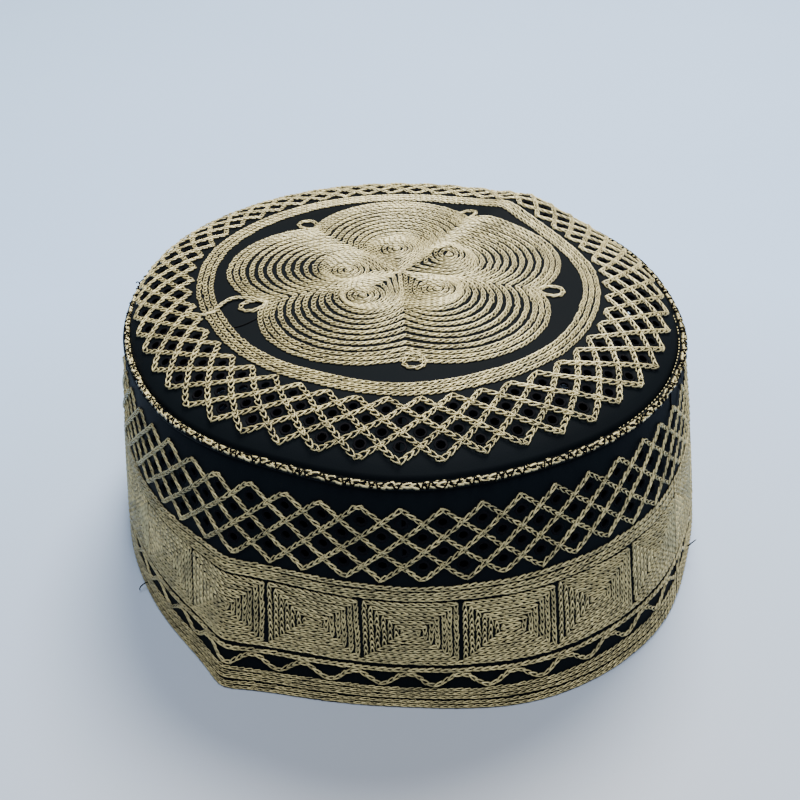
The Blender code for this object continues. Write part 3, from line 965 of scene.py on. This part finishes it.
# Camera
# The photo's own viewpoint, looking down on the front of the cap. Its place and lens were worked
# out from places on the cap that show in the photo.
CAMERA_DISTANCE, CAMERA_ELEVATION = 365.7, 34.43
AIM_HEIGHT = 33.4
CAMERA_TILT, CAMERA_ROLL = 0.55, 1.68
LENS, SENSOR = 50.8, 36.0
rise = math.radians(CAMERA_ELEVATION)
spot = Vector((-ORIGIN_X, -CAMERA_DISTANCE * math.cos(rise) - ORIGIN_Y,
               AIM_HEIGHT + CAMERA_DISTANCE * math.sin(rise))) * MM
aim = Matrix.Rotation(math.radians(90.0 - CAMERA_ELEVATION + CAMERA_TILT), 4, "X")
roll = Matrix.Rotation(-math.radians(CAMERA_ROLL), 4, "Z")
lens_data = bpy.data.cameras.new("photo_view")
lens_data.lens = LENS
lens_data.sensor_width = SENSOR
lens_data.sensor_fit = "HORIZONTAL"
lens_data.clip_start = 0.01
camera = bpy.data.objects.new("photo_view", lens_data)
camera.matrix_world = Matrix.Translation(spot) @ aim @ roll
bpy.context.scene.collection.objects.link(camera)
bpy.context.scene.camera = camera

# Floor and light
# A plain pale table top under soft daylight that comes from above and a little behind, with a
# painted shadow that greys it round the cap. A dark disc inside the rim paints shade on the
# floor under the cap, so that the eyelets show dark.
FLOOR_SIZE = 6.0
FLOOR_COLOUR = (0.385, 0.555, 0.835)
# painted shade: size and height of a dark disc on the floor inside the rim
SHADE_DISC_RADIUS, SHADE_DISC_HEIGHT = 84.0, 0.2


def pale_floor():
    """Blue-white table top with slow random changes of colour, and a painted shadow that greys it round
    the cap.
    """
    material, shader, nodes, join = new_material("pale_floor", 0.6)
    grain = nodes.new("ShaderNodeTexNoise")
    grain.inputs["Scale"].default_value = 6.0
    place = nodes.new("ShaderNodeTexCoord")
    join(place.outputs["Object"], grain.inputs["Vector"])
    # painted shadow: the floor turns grey in a soft round patch about the cap, where its shadow falls
    near = nodes.new("ShaderNodeMapping")
    near.inputs["Location"].default_value = (0.0, 0.45, 0.0)
    near.inputs["Scale"].default_value = (3.0, 3.0, 3.0)
    painted_shadow = nodes.new("ShaderNodeTexGradient")
    painted_shadow.gradient_type = "SPHERICAL"
    join(place.outputs["Object"], near.inputs["Vector"])
    join(near.outputs["Vector"], painted_shadow.inputs["Vector"])
    colour = colour_mix(nodes, join, grain.outputs["Fac"],
                        dark=(0.37, 0.54, 0.82), light=(0.40, 0.57, 0.85))
    # painted shadow colour at the middle of the patch
    shadow_grey = colour_mix(nodes, join, painted_shadow.outputs["Fac"], FLOOR_COLOUR, (0.32, 0.35, 0.40))
    join(colour, shadow_grey.node.inputs["A"])
    join(shadow_grey, shader.inputs["Base Color"])
    return material


def stage_piece(name, bm, material):
    mesh = finished_mesh(bm, name)
    mesh.materials.append(material)
    piece = bpy.data.objects.new(name, mesh)
    bpy.context.scene.collection.objects.link(piece)
    return piece


bm = bmesh.new()
bmesh.ops.create_grid(bm, x_segments=4, y_segments=4, size=FLOOR_SIZE / 2)
floor = stage_piece("floor", bm, pale_floor())
# painted shade: a dark disc on the floor under the cap, where its shade falls, so that the eyelets show
# dark
bm = bmesh.new()
bmesh.ops.create_circle(bm, cap_ends=True, segments=64, radius=SHADE_DISC_RADIUS * MM,
                        matrix=Matrix.Translation((0.0, 0.0, SHADE_DISC_HEIGHT * MM)))
shade_disc = stage_piece("painted_shade_disc", bm, black_satin)


def soft_light(name, place, target, size, power, colour):
    light = bpy.data.lights.new(name, "AREA")
    light.color = colour
    light.shape = "DISK"
    light.size = size
    light.energy = power
    lamp = bpy.data.objects.new(name, light)
    lamp.location = place
    lamp.rotation_euler = (Vector(target) - Vector(place)).to_track_quat("-Z", "Y").to_euler()
    bpy.context.scene.collection.objects.link(lamp)


soft_light("window", place=(0.24, 0.76, 1.46), target=(0.0, 0.1, 0.0),
           size=0.7, power=61.0, colour=(1.0, 0.95, 0.86))
soft_light("lamp", place=(0.08, -0.42, 1.0), target=(0.0, 0.0, 0.0),
           size=0.4, power=11.0, colour=(0.98, 0.98, 1.0))
world = bpy.data.worlds.new("room")
world.use_nodes = True
sky = world.node_tree.nodes["Background"]
sky.inputs["Color"].default_value = (0.9, 0.94, 1.0, 1.0)
sky.inputs["Strength"].default_value = 0.2
bpy.context.scene.world = world
